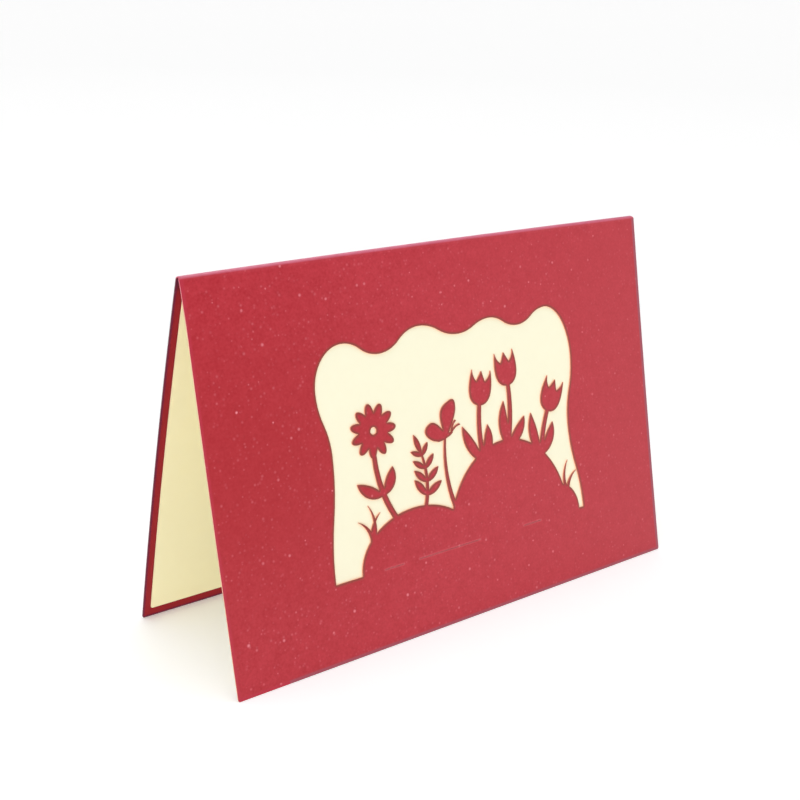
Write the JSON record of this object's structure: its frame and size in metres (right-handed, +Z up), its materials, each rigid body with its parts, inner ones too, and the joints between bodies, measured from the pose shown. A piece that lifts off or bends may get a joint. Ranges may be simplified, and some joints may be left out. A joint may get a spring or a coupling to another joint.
{
  "type": "greeting card",
  "caption": "Folded landscape card that stands as a tent, with a laser-cut flower meadow window in its red front panel and a cream liner behind it.",
  "frame": {"origin": "on the table, under the middle of the fold, midway between the two free edges", "axes": "+X along the fold, to the right as the window is seen; +Y from the window's panel to the back panel; +Z up"},
  "size_m": [0.15, 0.0496, 0.099],
  "materials": {
    "pearl_card": "satin",
    "cream_paper": "matte"
  },
  "bodies": {
    "root": {"cover": "pearl_card", "liner": "cream_paper"}
  },
  "joints": []
}
